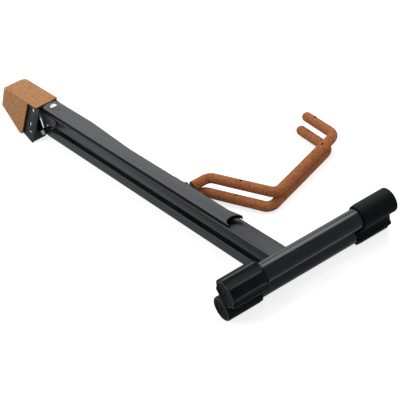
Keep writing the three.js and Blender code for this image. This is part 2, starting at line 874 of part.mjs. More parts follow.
function lugRivet(y) {
  const across = [y, lugRivetZ];
  const outer = lugBase + sheet + clearance;
  const inner = farFlange - sheet - clearance;
  const half = lugRivetHeadLength / 2;
  const shank = rod("x", across, lugRivetRadius, inner - half, outer + half);
  const head = rod("x", across, lugRivetHead, outer, outer + lugRivetHeadLength);
  const tail = rod("x", across, lugRivetHead, inner - lugRivetHeadLength, inner);
  return shank.add(head).add(tail);
}

add("rear_leg_channel", "paint", rearLeg());
add("front_leg_channel", "paint", frontLeg());
add("hinge_plate_near", "paint", hingePlateAt(plateNear - sheet));
add("hinge_plate_far", "paint", hingePlateAt(plateFar));
add("hinge_bush_near", "rubber", bush(nearBossStart, bossLength, bossRadius));
add("hinge_bush_far", "rubber", bush(farBossStart, bossLength, bossRadius));
add("hinge_sleeve", "steel", bush(sleeveStart, sleeveLength, sleeveRadius));
add("hinge_pin", "zinc", hingePin());
add("swing_bar", "paint", swingBar());
add("bar_spacer", "steel", barSpacer());
add("bar_rivet", "zinc", barRivet());
add("hood_bracket", "paint", hoodBracket());
add("hood_cork_top", "cork", hoodCorkTop());
add("hood_cork_near", "cork", hoodCorkSide(-1));
add("hood_cork_far", "cork", hoodCorkSide(1));
add("hood_block", "steel", hoodBlock());
hoodRivetYs.forEach((y, i) => add(`hood_rivet_${i + 1}`, "steel", hoodRivet(y)));
add("arm_lug_lower", "paint", armLug(-1));
add("arm_lug_upper", "paint", armLug(1));
lugRivetYs.forEach((y, i) => add(`arm_lug_rivet_${i + 1}`, "steel", lugRivet(y)));
for (const arm of arms) {
  add(`arm_rod_${arm.name}`, "paint", armRod(arm));
  add(`arm_cork_${arm.name}`, "cork", armCork(arm));
  add(`arm_pin_${arm.name}`, "zinc", armPin(arm));
}

// The stand's frame: the middle of its box in X and Y, the floor at zero.
const box = new THREE.Box3().setFromObject(stand);
const middle = box.getCenter(new THREE.Vector3());
stand.position.set(-middle.x, -middle.y, -box.min.z);
stand.updateMatrixWorld(true);

export default stand;
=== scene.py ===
"""Looks of a folding cello stand that lies folded on its back.

Every length is in metres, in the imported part's own frame: X along the feet, Y towards the hood,
Z up.
"""

from __future__ import annotations

import json
import logging
import math
from abc import ABC, abstractmethod
from dataclasses import dataclass
from enum import Enum
from typing import Any, Callable, Sequence

import bmesh
import bpy
from bmesh.types import BMEdge, BMesh, BMFace, BMVert
from bpy.types import Material, MeshPolygon, NodeSocket, NodeTree, Object, World
from mathutils import Matrix, Vector

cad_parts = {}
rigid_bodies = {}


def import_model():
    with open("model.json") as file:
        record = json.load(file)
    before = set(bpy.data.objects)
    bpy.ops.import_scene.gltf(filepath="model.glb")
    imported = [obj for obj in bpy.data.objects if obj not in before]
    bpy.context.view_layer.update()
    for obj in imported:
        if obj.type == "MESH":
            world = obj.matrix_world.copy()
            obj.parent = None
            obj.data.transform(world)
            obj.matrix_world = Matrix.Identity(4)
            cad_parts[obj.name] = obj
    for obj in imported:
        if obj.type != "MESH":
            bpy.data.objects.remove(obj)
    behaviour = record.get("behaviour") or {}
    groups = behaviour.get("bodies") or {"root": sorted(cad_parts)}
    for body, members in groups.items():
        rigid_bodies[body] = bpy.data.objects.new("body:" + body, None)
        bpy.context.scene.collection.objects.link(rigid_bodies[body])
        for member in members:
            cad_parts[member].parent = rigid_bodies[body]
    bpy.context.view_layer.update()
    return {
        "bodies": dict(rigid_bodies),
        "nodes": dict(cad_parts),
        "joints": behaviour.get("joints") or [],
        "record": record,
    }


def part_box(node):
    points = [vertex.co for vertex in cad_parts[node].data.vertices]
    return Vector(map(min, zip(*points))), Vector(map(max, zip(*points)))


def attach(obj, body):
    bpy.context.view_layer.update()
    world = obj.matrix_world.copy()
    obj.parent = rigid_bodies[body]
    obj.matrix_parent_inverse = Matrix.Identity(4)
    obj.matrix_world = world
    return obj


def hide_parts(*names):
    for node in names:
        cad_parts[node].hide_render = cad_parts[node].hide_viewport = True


LOG = logging.getLogger("cello_stand")
MM = 0.001
QUARTER = math.pi / 2
# Points that are built here merge within the first, those of a copied node within the second
WELD = 1e-7
MERGE = 0.01 * MM
# The share of a side that a rounded corner may take
MOST_ROUND = 0.45
# Edges that turn by more degrees than this are shaded sharp
CREASE = 38.0
# Edges that turn by more degrees than this can be rounded
CORNER = 40.0
# Faces that turn by fewer degrees than this join into one
FLAT = 0.4
# The least share of a lengthwise edge that runs along Y
STRAIGHT = 0.999
PHOTO_PIXELS = 400
SENSOR_WIDTH = 36.0

FRAME: dict[str, Any] = {}

Ring = list[Vector]
Profile = list[tuple[float, float]]
EdgeTest = Callable[[BMEdge], bool]
FaceTest = Callable[[MeshPolygon], bool]


class Body(Enum):
    """The bodies that move as one."""

    REAR = "rear_leg"
    FRONT = "front_leg"
    BAR = "bar"
    ARM_A = "arm_a"
    ARM_B = "arm_b"


class Slot(Enum):
    """The record's material slots."""

    PAINT = "paint"
    RUBBER = "rubber"
    PLASTIC = "plastic"
    STEEL = "steel"
    ZINC = "zinc"
    CORK = "cork"


class Axis(Enum):
    """A direction along which a turned piece lies."""

    X = 0
    Y = 1
    Z = 2


def linear(code: str) -> tuple[float, float, float, float]:
    """Turns an sRGB hex code into a linear colour.

    Args:
        code: six hex digits after a hash sign.

    Returns:
        Linear red, green, blue and an alpha of one.
    """
    parts = [int(code[i : i + 2], 16) / 255 for i in (1, 3, 5)]
    low = [p / 12.92 if p <= 0.04045 else ((p + 0.055) / 1.055) ** 2.4 for p in parts]
    return (low[0], low[1], low[2], 1.0)


def add_node(tree: NodeTree, kind: str, values: dict[Any, Any]) -> Any:
    """Adds a node with its settings and links.

    Args:
        tree: the tree that the node joins.
        kind: the node's type name.
        values: properties by name; for an input, by name or index, its value or the output that
            feeds it; and as "stops" a ramp's colour codes by position, lowest first.

    Returns:
        The new node's outputs.
    """
    node = tree.nodes.new(kind)
    for key, value in values.items():
        if key == "stops":
            elements = node.color_ramp.elements
            for index, (place, code) in enumerate(value.items()):
                element = elements[index] if index < len(elements) else elements.new(place)
                element.position = place
                element.color = linear(code)
        elif isinstance(value, NodeSocket):
            tree.links.new(value, node.inputs[key])
        elif isinstance(key, str) and hasattr(node, key):
            setattr(node, key, value)
        else:
            node.inputs[key].default_value = value
    return node.outputs


def empty_tree(owner: Material | World) -> NodeTree:
    """Turns an owner's nodes on and clears them.

    Args:
        owner: a material or a world.

    Returns:
        Its empty tree.
    """
    owner.use_nodes = True
    owner.node_tree.nodes.clear()
    return owner.node_tree


def object_noise(
    tree: NodeTree, grain: float, detail: float = 3.0, output: str = "Fac"
) -> NodeSocket:
    """Adds noise on object coordinates.

    Args:
        tree: the tree that the noise joins.
        grain: the size of one blotch in metres.
        detail: how many finer layers it has.
        output: the output that is wanted.

    Returns:
        That output.
    """
    place = add_node(tree, "ShaderNodeTexCoord", {})["Object"]
    values = {"Scale": 1 / grain, "Detail": detail, "Roughness": 0.55, "Vector": place}
    return add_node(tree, "ShaderNodeTexNoise", values)[output]


class Finish(ABC):
    """A finish that one principled shader shows."""

    name: str
    slot: Slot

    @abstractmethod
    def inputs(self, tree: NodeTree) -> dict[str, Any]:
        """Adds the finish's pattern and returns the shader's inputs."""

    def build(self) -> Material:
        """Makes the finish's material.

        Returns:
            The material.
        """
        material = bpy.data.materials.new(self.name)
        tree = empty_tree(material)
        shader = add_node(tree, "ShaderNodeBsdfPrincipled", self.inputs(tree))
        add_node(tree, "ShaderNodeOutputMaterial", {"Surface": shader["BSDF"]})
        return material


@dataclass(frozen=True)
class PowderCoat(Finish):
    """Satin black powder coat, baked on steel: a faint orange peel softens every highlight."""

    name: str = "black_powder_coat"
    dark: str = "#0E1113"
    pale: str = "#15191B"
    cast: str = "#E2EDF2"
    smooth: float = 0.24
    rough: float = 0.34
    peel: float = 1.1 * MM
    drift: float = 30 * MM
    depth: float = 0.03 * MM
    shine: float = 0.5
    slot: Slot = Slot.PAINT

    def inputs(self, tree: NodeTree) -> dict[str, Any]:
        """Adds the drift of tone and gloss, and the peel.

        Args:
            tree: the material's tree.

        Returns:
            The shader's inputs.
        """
        drift = object_noise(tree, self.drift)
        peel = object_noise(tree, self.peel, 1.0)
        tint = {"stops": {0.3: self.dark, 0.7: self.pale}, "Fac": drift}
        gloss = {"To Min": self.smooth, "To Max": self.rough, "Value": drift}
        relief = {"Strength": 0.3, "Distance": self.depth, "Height": peel}
        return {
            "Base Color": add_node(tree, "ShaderNodeValToRGB", tint)["Color"],
            "Roughness": add_node(tree, "ShaderNodeMapRange", gloss)["Result"],
            "Normal": add_node(tree, "ShaderNodeBump", relief)["Normal"],
            "IOR": 1.5,
            "Specular IOR Level": self.shine,
            "Specular Tint": linear(self.cast),
        }


@dataclass(frozen=True)
class MouldedRubber(Finish):
    """Black rubber from a fine-blasted mould: dull, with a slight grain and dusty highs."""

    name: str = "moulded_rubber"
    dark: str = "#080A0B"
    pale: str = "#101416"
    grain: float = 0.9 * MM
    blotch: float = 14 * MM
    depth: float = 0.06 * MM
    rough: float = 0.55
    shine: float = 0.12
    slot: Slot = Slot.RUBBER

    def inputs(self, tree: NodeTree) -> dict[str, Any]:
        """Adds the blotches and the grain.

        Args:
            tree: the material's tree.

        Returns:
            The shader's inputs.
        """
        blotch = object_noise(tree, self.blotch, 5.0)
        tint = {"stops": {0.35: self.dark, 0.75: self.pale}, "Fac": blotch}
        grain = object_noise(tree, self.grain)
        relief = {"Strength": 0.4, "Distance": self.depth, "Height": grain}
        return {
            "Base Color": add_node(tree, "ShaderNodeValToRGB", tint)["Color"],
            "Normal": add_node(tree, "ShaderNodeBump", relief)["Normal"],
            "Roughness": self.rough,
            "Specular IOR Level": self.shine,
        }


@dataclass(frozen=True)
class PlatedMetal(Finish):
    """Plated or plain turned steel, with fine uneven brightness from its plating or oxide."""

    name: str
    dark: str
    pale: str
    low: float = 0.18
    high: float = 0.34
    grain: float = 2.5 * MM
    metallic: float = 1.0
    slot: Slot = Slot.STEEL

    def inputs(self, tree: NodeTree) -> dict[str, Any]:
        """Adds the uneven brightness.

        Args:
            tree: the material's tree.

        Returns:
            The shader's inputs.
        """
        grain = object_noise(tree, self.grain)
        tint = {"stops": {0.3: self.dark, 0.7: self.pale}, "Fac": grain}
        gloss = {"To Min": self.low, "To Max": self.high, "Value": grain}
        return {
            "Base Color": add_node(tree, "ShaderNodeValToRGB", tint)["Color"],
            "Roughness": add_node(tree, "ShaderNodeMapRange", gloss)["Result"],
            "Metallic": self.metallic,
        }


@dataclass(frozen=True)
class PressedCork(Finish):
    """Granulated cork pressed with binder: small granules of many browns, pitted and dull."""

    name: str = "pressed_cork"
    deep: str = "#7D4F2F"
    dark: str = "#AB7247"
    mid: str = "#C68C5C"
    pale: str = "#D9AB80"
    granule: float = 1.7 * MM
    fleck: float = 3.6 * MM
    pit: float = 0.25 * MM
    slot: Slot = Slot.CORK

    def inputs(self, tree: NodeTree) -> dict[str, Any]:
        """Adds the granules, a broad drift of colour, dark specks and pits.

        Args:
            tree: the material's tree.

        Returns:
            The shader's inputs.
        """
        place = add_node(tree, "ShaderNodeTexCoord", {})["Object"]
        warp = object_noise(tree, self.granule * 2, 2.0, "Color")
        sway = {"operation": "SCALE", "Scale": self.granule * 0.8, 0: warp}
        nudge = add_node(tree, "ShaderNodeVectorMath", sway)["Vector"]
        where = add_node(tree, "ShaderNodeVectorMath", {"operation": "ADD", 0: place, 1: nudge})
        voronoi = {"Scale": 1 / self.granule, "Randomness": 1.0, "Vector": where["Vector"]}
        cells = add_node(tree, "ShaderNodeTexVoronoi", voronoi)
        drift = object_noise(tree, self.fleck, 6.0)
        speck = object_noise(tree, self.fleck * 0.7, 1.0)
        shade = add_node(tree, "ShaderNodeSeparateColor", {"Color": cells["Color"]})["Red"]
        granules, broad, specks = (
            add_node(tree, "ShaderNodeValToRGB", {"stops": stops, "Fac": source})["Color"]
            for source, stops in (
                (shade, {0.0: self.deep, 0.12: self.dark, 0.5: self.mid, 1.0: self.pale}),
                (drift, {0.32: self.dark, 0.5: self.mid, 0.72: self.pale}),
                (speck, {0.64: "#FFFFFF", 0.72: "#6E5A4C"}),
            )
        )
        blend = {"data_type": "RGBA", "Factor": 0.45, 6: granules, 7: broad}
        blended = add_node(tree, "ShaderNodeMix", blend)[2]
        spot = {"data_type": "RGBA", "blend_type": "MULTIPLY", "Factor": 0.8}
        height = {"operation": "ADD", 0: cells["Distance"], 1: drift}
        relief = {"Strength": 0.55, "Distance": self.pit}
        relief["Height"] = add_node(tree, "ShaderNodeMath", height)["Value"]
        return {
            "Base Color": add_node(tree, "ShaderNodeMix", {**spot, 6: blended, 7: specks})[2],
            "Normal": add_node(tree, "ShaderNodeBump", relief)["Normal"],
            "Roughness": 0.88,
            "IOR": 1.4,
        }


class Look(Enum):
    """The finishes that the pieces wear."""

    PAINT = PowderCoat()
    # Drawn tube under the coat: a finer peel and a narrower, brighter highlight
    TUBE = PowderCoat("tube_gloss_coat", smooth=0.13, rough=0.2, peel=0.8 * MM, depth=0.02 * MM)
    # Lips and inside of the pressed bar: the coat painted flat and very black, as painted shade
    SHADED_LIP = PowderCoat("painted_shade_lip", "#050606", "#0A0C0D", smooth=0.5, rough=0.62, shine=0.12)
    # Crowns of the folds: a fine paler line, a painted highlight
    FOLD_HIGHLIGHT = PowderCoat("painted_fold_highlight", "#2E3235", "#393E41", smooth=0.2, rough=0.28)
    # Hinge plates: the black coat painted greyer, as painted light
    LIT_PLATE = PowderCoat("painted_light_plate_coat", "#3A3F42", "#464B4E")
    RUBBER = MouldedRubber()
    # Rims and ridges: a thin grey outline, a painted highlight
    RIM_HIGHLIGHT = MouldedRubber("painted_rim_highlight", "#262B2D", "#363C40", rough=0.45, shine=0.4)
    # Moulded nylon bosses: black and slightly waxy
    NYLON = MouldedRubber(
        "moulded_nylon", "#08090A", "#101213", rough=0.3, shine=0.45, slot=Slot.PLASTIC
    )
    # Zinc plate with a clear film: almost white, a soft mirror
    ZINC = PlatedMetal("bright_zinc", "#E9EAEB", "#F7F8F8", metallic=0.35, slot=Slot.ZINC)
    # Steel left with its black mill oxide: a dull dark block
    OXIDE = PlatedMetal("oxide_steel", "#17191B", "#222528", 0.45, 0.6)
    # Turned steel without plating: mid grey, softly bright
    STEEL = PlatedMetal("turned_steel", "#85888C", "#A7AAAE", 0.3, 0.45)
    CORK = PressedCork()
    # Cork pressed with a darker binder: redder, with smaller granules
    SLEEVE = PressedCork("cork_sleeve", "#6A3618", "#90502A", "#B26A3D", "#CC8A57", 1.3 * MM)
    # Cut edge of a cork sheet: open pores, so darker
    CUT = PressedCork("cut_cork_edge", "#3A2314", "#55351E", "#6B4427", "#855633")
    # Bits of outer bark in the cork: nearly black
    BARK = PressedCork("bark_fleck", "#0E0805", "#160D08", "#22140C", "#2E1C11")

    @property
    def material(self) -> Material:
        """Returns the finish's material, made when it is first asked for."""
        return bpy.data.materials.get(self.value.name) or self.value.build()


def centre_of(node: str) -> Vector:
    """Returns the middle of a node's box."""
    low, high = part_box(node)
    return (low + high) / 2


def size_of(node: str) -> Vector:
    """Returns the edge lengths of a node's box."""
    low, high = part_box(node)
    return high - low


def dress(obj: Object, body: Body, node: str = "") -> None:
    """Lets a piece ride on its body and stand for its node.

    Args:
        obj: the finished piece.
        body: what it moves with.
        node: the node that it replaces, if any.
    """
    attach(obj, body.value)
    if node:
        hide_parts(node)
    LOG.info("piece %s on %s", obj.name, body.value)


def new_object(
    name: str, bm: BMesh, materials: Sequence[Material], crease: float = CREASE
) -> Object:
    """Turns a bmesh into a smooth-shaded object with sharp creases.

    Args:
        name: the piece's name.
        bm: its geometry, freed here.
        materials: its materials in slot order.
        crease: edges that turn by more degrees than this stay sharp.

    Returns:
        The new object, linked to the scene.
    """
    mesh = bpy.data.meshes.new(name)
    bm.to_mesh(mesh)
    bm.free()
    for material in materials:
        mesh.materials.append(material)
    for polygon in mesh.polygons:
        polygon.use_smooth = True
    mesh.set_sharp_from_angle(angle=math.radians(crease))
    obj = bpy.data.objects.new(name, mesh)
    bpy.context.scene.collection.objects.link(obj)
    return obj


@dataclass(frozen=True)
class Accent:
    """A second finish on the faces that pass a test."""

    look: Look
    test: FaceTest


def skin(
    node: str,
    bm: BMesh,
    look: Look,
    body: Body,
    accent: Accent | None = None,
    crease: float = CREASE,
) -> None:
    """Makes the piece that stands for a node.

    Args:
        node: the node that it replaces.
        bm: its geometry, freed here.
        look: its finish.
        body: what it moves with.
        accent: a second finish.
        crease: edges that turn by more degrees than this stay sharp.
    """
    obj = new_object(node + "_skin", bm, [look.material], crease)
    if accent:
        obj.data.materials.append(accent.look.material)
        for polygon in obj.data.polygons:
            polygon.material_index = int(accent.test(polygon))
    dress(obj, body, node)


def arc(y: float, z: float, radius: float, first: float, last: float, steps: int) -> Profile:
    """Gives points on an arc.

    Args:
        y: the centre's first coordinate.
        z: its second one.
        radius: the arc's radius.
        first: the angle at which it starts.
        last: the angle at which it ends.
        steps: how many parts it has.

    Returns:
        The points from its start to its end.
    """
    angles = [first + (last - first) * i / steps for i in range(steps + 1)]
    return [(y + radius * math.cos(a), z + radius * math.sin(a)) for a in angles]


def loft(bm: BMesh, rings: Sequence[Ring], closed: bool = False) -> None:
    """Joins rings of equal length into a skin.

    Args:
        bm: where the faces go.
        rings: the rings in order, each turning the same way.
        closed: whether the last ring joins the first; otherwise both ends get a lid.
    """
    rows = [[bm.verts.new(point) for point in ring] for ring in rings]
    pairs = list(zip(rows, rows[1:])) + ([(rows[-1], rows[0])] if closed else [])
    for low, high in pairs:
        for i, (here, above) in enumerate(zip(low, high)):
            j = (i + 1) % len(low)
            bm.faces.new((here, low[j], high[j], above))
    if not closed:
        bm.faces.new(list(reversed(rows[0])))
        bm.faces.new(rows[-1])
    bmesh.ops.remove_doubles(bm, verts=bm.verts, dist=WELD)
    bmesh.ops.recalc_face_normals(bm, faces=bm.faces)


def turned_ring(origin: Vector, axis: Axis, along: float, radii: Sequence[float]) -> Ring:
    """Makes a ring round an axis.

    Args:
        origin: a point on the axis.
        axis: the axis's direction.
        along: how far from the origin the ring lies.
        radii: the radius at each of its points.

    Returns:
        The ring's points.
    """
    u, v = [(1, 2), (2, 0), (0, 1)][axis.value]
    ring = []
    for i, radius in enumerate(radii):
        angle = 2 * math.pi * i / len(radii)
        point = origin.copy()
        point[axis.value] += along
        point[u] += radius * math.cos(angle)
        point[v] += radius * math.sin(angle)
        ring.append(point)
    return ring


def pipe(bore: float, outer: float, half: float, edge: float, steps: int = 4) -> Profile:
    """Gives the outline of a pipe's wall with rounded corners.

    Args:
        bore: the inner radius.
        outer: the outer radius.
        half: half its length.
        edge: the rounding, limited by the shortest side.
        steps: points on each rounded corner.

    Returns:
        Radius and place along the axis, in order.
    """
    corners = [Vector(p) for p in ((bore, -half), (outer, -half), (outer, half), (bore, half))]
    outline: Profile = []
    for i, corner in enumerate(corners):
        sides = [corners[i - 1] - corner, corners[(i + 1) % 4] - corner]
        reach = min(edge, *(side.length * MOST_ROUND for side in sides))
        start, end = (corner + side.normalized() * reach for side in sides)
        for step in range(steps + 1):
            t = step / steps
            mixed = start * (1 - t) ** 2 + corner * 2 * t * (1 - t) + end * t**2
            outline.append((mixed.x, mixed.y))
    return outline


def lathe(origin: Vector, axis: Axis, profile: Profile, sides: int) -> BMesh:
    """Turns a closed outline round an axis.

    Args:
        origin: a point on the axis.
        axis: the axis's direction.
        profile: radius and place along the axis, in order.
        sides: how many points go round.

    Returns:
        The turned shape.
    """
    bm = bmesh.new()
    rings = [turned_ring(origin, axis, h, [r] * sides) for r, h in profile]
    loft(bm, rings, closed=True)
    bmesh.ops.dissolve_degenerate(bm, dist=WELD, edges=bm.edges)
    bmesh.ops.recalc_face_normals(bm, faces=bm.faces)
    return bm


def plate(bm: BMesh, loops: Sequence[Profile], low: float, high: float) -> None:
    """Adds a flat plate that is thick along X.

    Args:
        bm: where the plate goes.
        loops: its outline and then its holes, as Y and Z.
        low: X of one face.
        high: X of the other.
    """
    edges = []
    for loop in loops:
        verts = [bm.verts.new((low, y, z)) for y, z in loop]
        edges += [bm.edges.new(pair) for pair in zip(verts, verts[1:] + verts[:1])]
    filled = bmesh.ops.triangle_fill(bm, edges=edges, use_beauty=True, use_dissolve=False)
    faces = [item for item in filled["geom"] if isinstance(item, BMFace)]
    raised = bmesh.ops.extrude_face_region(bm, geom=faces)
    moved = [item for item in raised["geom"] if isinstance(item, BMVert)]
    bmesh.ops.translate(bm, verts=moved, vec=(high - low, 0.0, 0.0))
    bmesh.ops.recalc_face_normals(bm, faces=bm.faces)


def copy_of(node: str) -> BMesh:
    """Copies a node's mesh with its points merged and its flat faces joined.

    Args:
        node: the node's name.

    Returns:
        The copy.
    """
    bm = bmesh.new()
    bm.from_mesh(FRAME["nodes"][node].data)
    bmesh.ops.remove_doubles(bm, verts=bm.verts, dist=MERGE)
    flat = math.radians(FLAT)
    bmesh.ops.dissolve_limit(bm, angle_limit=flat, verts=bm.verts, edges=bm.edges)
    return bm


def sharp(edge: BMEdge) -> bool:
    """Tells whether an edge is a corner."""
    return edge.calc_face_angle(0.0) > math.radians(CORNER)


def lengthwise(edge: BMEdge) -> bool:
    """Tells whether an edge runs along Y."""
    step = edge.verts[1].co - edge.verts[0].co
    return step.length > 0 and abs(step.y) / step.length > STRAIGHT


def bevel_where(bm: BMesh, width: float, segments: int, test: EdgeTest = sharp) -> None:
    """Rounds the edges that pass a test.

    Args:
        bm: the geometry.
        width: how far the rounding reaches from the edge.
        segments: faces across the rounding.
        test: tells whether an edge is rounded.
    """
    edges = [e for e in bm.edges if len(e.link_faces) == 2 and test(e)]
    how = {"offset_type": "OFFSET", "profile": 0.5, "affect": "EDGES", "clamp_overlap": True}
    bmesh.ops.bevel(bm, geom=edges, offset=width, segments=segments, **how)


def deburred(
    node: str, look: Look, width: float, segments: int = 2, accent: Accent | None = None
) -> None:
    """Copies one of the front leg's pieces with its sharp edges rounded.

    Args:
        node: the piece's node.
        look: its finish.
        width: the rounding.
        segments: faces across the rounding.
        accent: a second finish.
    """
    bm = copy_of(node)
    bevel_where(bm, width, segments)
    skin(node, bm, look, Body.FRONT, accent)


def repeat_tree(name: str, material: Material, follow: bool) -> NodeTree:
    """Makes a geometry tree that sets seeded blobs on points or along a line.

    Args:
        name: the tree's name.
        material: the blobs' finish.
        follow: whether the blobs follow a line at a pitch instead of sitting on the points.

    Returns:
        The tree, with the named inputs Pitch, Radius, Flatness and Seed.
    """
    tree = bpy.data.node_groups.new(name, "GeometryNodeTree")
    kinds = {"Geometry": "Geometry", "Pitch": "Float", "Radius": "Float", "Flatness": "Float"}
    for label, kind in {**kinds, "Seed": "Int"}.items():
        tree.interface.new_socket(label, in_out="INPUT", socket_type="NodeSocket" + kind)
    tree.interface.new_socket("Geometry", in_out="OUTPUT", socket_type="NodeSocketGeometry")
    start = add_node(tree, "NodeGroupInput", {})
    places = start["Geometry"]
    if follow:
        line = add_node(tree, "GeometryNodeMeshToCurve", {"Mesh": places})["Curve"]
        spacing = {"mode": "LENGTH", "Curve": line, "Length": start["Pitch"]}
        places = add_node(tree, "GeometryNodeResampleCurve", spacing)["Curve"]
    ball = {"Subdivisions": 3, "Radius": start["Radius"]}
    blob = add_node(tree, "GeometryNodeMeshIcoSphere", ball)["Mesh"]
    spread = {"data_type": "FLOAT", 2: 0.8, 3: 1.2, "Seed": start["Seed"]}
    wide = add_node(tree, "FunctionNodeRandomValue", spread)[1]
    squash = {"operation": "MULTIPLY", 0: wide, 1: start["Flatness"]}
    flat = add_node(tree, "ShaderNodeMath", squash)["Value"]
    scale = add_node(tree, "ShaderNodeCombineXYZ", {"X": wide, "Y": flat, "Z": flat})["Vector"]
    set_out = {"Points": places, "Instance": blob, "Scale": scale}
    shape = add_node(tree, "GeometryNodeInstanceOnPoints", set_out)["Instances"]
    for kind, values in (
        ("GeometryNodeRealizeInstances", {}),
        ("GeometryNodeSetShadeSmooth", {}),
        ("GeometryNodeSetMaterial", {"Material": material}),
    ):
        shape = add_node(tree, kind, {**values, "Geometry": shape})["Geometry"]
    add_node(tree, "NodeGroupOutput", {"Geometry": shape})
    return tree


def repeat(
    name: str, points: Sequence[Vector], look: Look, values: dict[str, float], follow: bool
) -> Object:
    """Sets blobs on points or along a line with Geometry Nodes and keeps the plain mesh.

    Args:
        name: the piece's name.
        points: the places, or the line in order.
        look: the blobs' finish.
        values: Pitch, Radius, Flatness and Seed.
        follow: whether the blobs follow the line.

    Returns:
        The new object.
    """
    bm = bmesh.new()
    verts = [bm.verts.new(point) for point in points]
    if follow:
        for pair in zip(verts, verts[1:]):
            bm.edges.new(pair)
    obj = new_object(name, bm, [])
    tree = repeat_tree(name + "_tree", look.material, follow)
    modifier = obj.modifiers.new("repeat", "NODES")
    modifier.node_group = tree
    for item in tree.interface.items_tree:
        if item.in_out == "INPUT" and item.name in values:
            modifier[item.identifier] = values[item.name]
    graph = bpy.context.evaluated_depsgraph_get()
    result = bpy.data.meshes.new_from_object(obj.evaluated_get(graph))
    obj.modifiers.clear()
    obj.data = result
    return obj


@dataclass
class Feet:
    """Two foot tubes, each with a round and a fluted rubber cap."""

    wall: float = 1.5 * MM
    tube_edge: float = 0.3 * MM
    tube_sides: int = 96
    fit: float = 0.1 * MM
    cap_end: float = 3 * MM
    round_edge: float = 3.2 * MM
    rim_band: float = 5 * MM
    rim_step: float = 0.5 * MM
    dish: float = 1.0 * MM
    dish_share: float = 0.62
    hole: float = 2.5 * MM
    flutes: int = 8
    flute_depth: float = 2.6 * MM
    flute_curve: float = 16 * MM
    flute_from: float = 0.8
    # How far the painted highlight on the caps' rims and fluted crests reaches
    highlit_edge: float = 0.9 * MM
    crest: float = 0.18 * MM
    rim_share: float = 0.78
    fillet: float = 0.9 * MM
    fillet_lift: float = 0.12
    fluted_crease: float = 50.0
    sides: int = 192

    def build(self) -> None:
        """Builds both feet."""
        for leg, body in (("rear", Body.REAR), ("front", Body.FRONT)):
            tube = f"{leg}_foot_tube"
            size = size_of(tube)
            outer = size.z / 2
            profile = pipe(outer - self.wall, outer, size.x / 2, self.tube_edge, 2)
            bm = lathe(centre_of(tube), Axis.X, profile, self.tube_sides)
            skin(tube, bm, Look.TUBE, body)
            self.cap(f"{leg}_foot_round_cap", tube, body, False)
            self.cap(f"{leg}_foot_fluted_cap", tube, body, True)

    def cap_profile(self, radius: float, bore: float, length: float) -> Profile:
        """Gives the outline of a cap from its closed end to its rim.

        Args:
            radius: the outer radius.
            bore: the radius of the socket.
            length: the cap's length.

        Returns:
            Radius and distance from the closed end.
        """
        edge, step = self.round_edge, self.rim_step
        flat = radius * self.dish_share
        return [
            (self.hole, self.dish),
            (flat - self.dish, self.dish),
            (flat, 0.0),
            *arc(radius - edge, edge, edge, -QUARTER, 0.0, 6),
            (radius, length - self.rim_band),
            (radius - step, length - self.rim_band + step),
            (radius - step, length - step),
            (radius - 2 * step, length),
            (bore, length),
            (bore, self.cap_end),
            (self.hole, self.cap_end),
        ]

    def cap(self, node: str, tube: str, body: Body, fluted: bool) -> None:
        """Builds one cap.

        Args:
            node: the cap's node.
            tube: the node of the tube that it closes.
            body: what it moves with.
            fluted: whether flutes are scooped out of its side.
        """
        low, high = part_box(node)
        axis = centre_of(tube)
        outward = 1.0 if (low.x + high.x) / 2 > axis.x else -1.0
        origin = Vector((high.x if outward > 0 else low.x, axis.y, axis.z))
        turned = body is Body.FRONT
        radius = (high.z - low.z) / 2
        if fluted and not turned:
            radius = self.ridge_radius(radius)
        shape = self.flute_radii(radius, turned) if fluted else [radius] * self.sides
        bore = size_of(tube).z / 2 + self.fit
        rings = []
        for r, h in self.cap_profile(radius, bore, high.x - low.x):
            outside = r > radius * self.flute_from
            radii = [v - (radius - r) for v in shape] if outside else [r] * self.sides
            rings.append(turned_ring(origin, Axis.X, -outward * h, radii))
        bm = bmesh.new()
        loft(bm, rings, closed=True)

        # Rims at the closed end and fluted crests get a painted highlight
        def highlit_edge(face: MeshPolygon) -> bool:
            reach = math.hypot(face.center.y - origin.y, face.center.z - origin.z)
            at_end = abs(face.center.x - origin.x) < self.highlit_edge
            rim = at_end and reach > radius * self.rim_share
            return rim or (fluted and reach > radius - self.crest)

        accent = Accent(Look.RIM_HIGHLIGHT, highlit_edge)
        crease = self.fluted_crease if fluted else CREASE
        skin(node, bm, Look.RUBBER, body, accent, crease)

    def flute_radii(self, radius: float, turned: bool) -> list[float]:
        """Gives the radius of a fluted section at each of its points.

        Args:
            radius: the radius at the ridges.
            turned: whether a ridge, not a flute, faces the first point.

        Returns:
            One radius for each point round the section, ridges filleted.
        """
        centre = radius - self.flute_depth + self.flute_curve
        pitch = 2 * math.pi / self.flutes
        radii = []
        for i in range(self.sides):
            angle = 2 * math.pi * i / self.sides - (pitch / 2 if turned else 0.0)
            off = (angle + pitch / 2) % pitch - pitch / 2
            inner = self.flute_curve**2 - (centre * math.sin(off)) ** 2
            scoop = centre * math.cos(off) - math.sqrt(max(inner, 0.0))
            soft = (scoop + radius - math.hypot(scoop - radius, self.fillet)) / 2
            radii.append(min(soft + self.fillet * self.fillet_lift, radius))
        return radii

    def ridge_radius(self, reach: float) -> float:
        """Gives the radius at the ridges of a cap that has a flute, not a ridge, on top.

        Args:
            reach: half the node's height.

        Returns:
            The radius, from the flute's own geometry.
        """
        radius = reach
        for _ in range(8):
            centre = radius - self.flute_depth + self.flute_curve
            share = (radius**2 + centre**2 - self.flute_curve**2) / (2 * radius * centre)
            radius = reach / share
        return radius


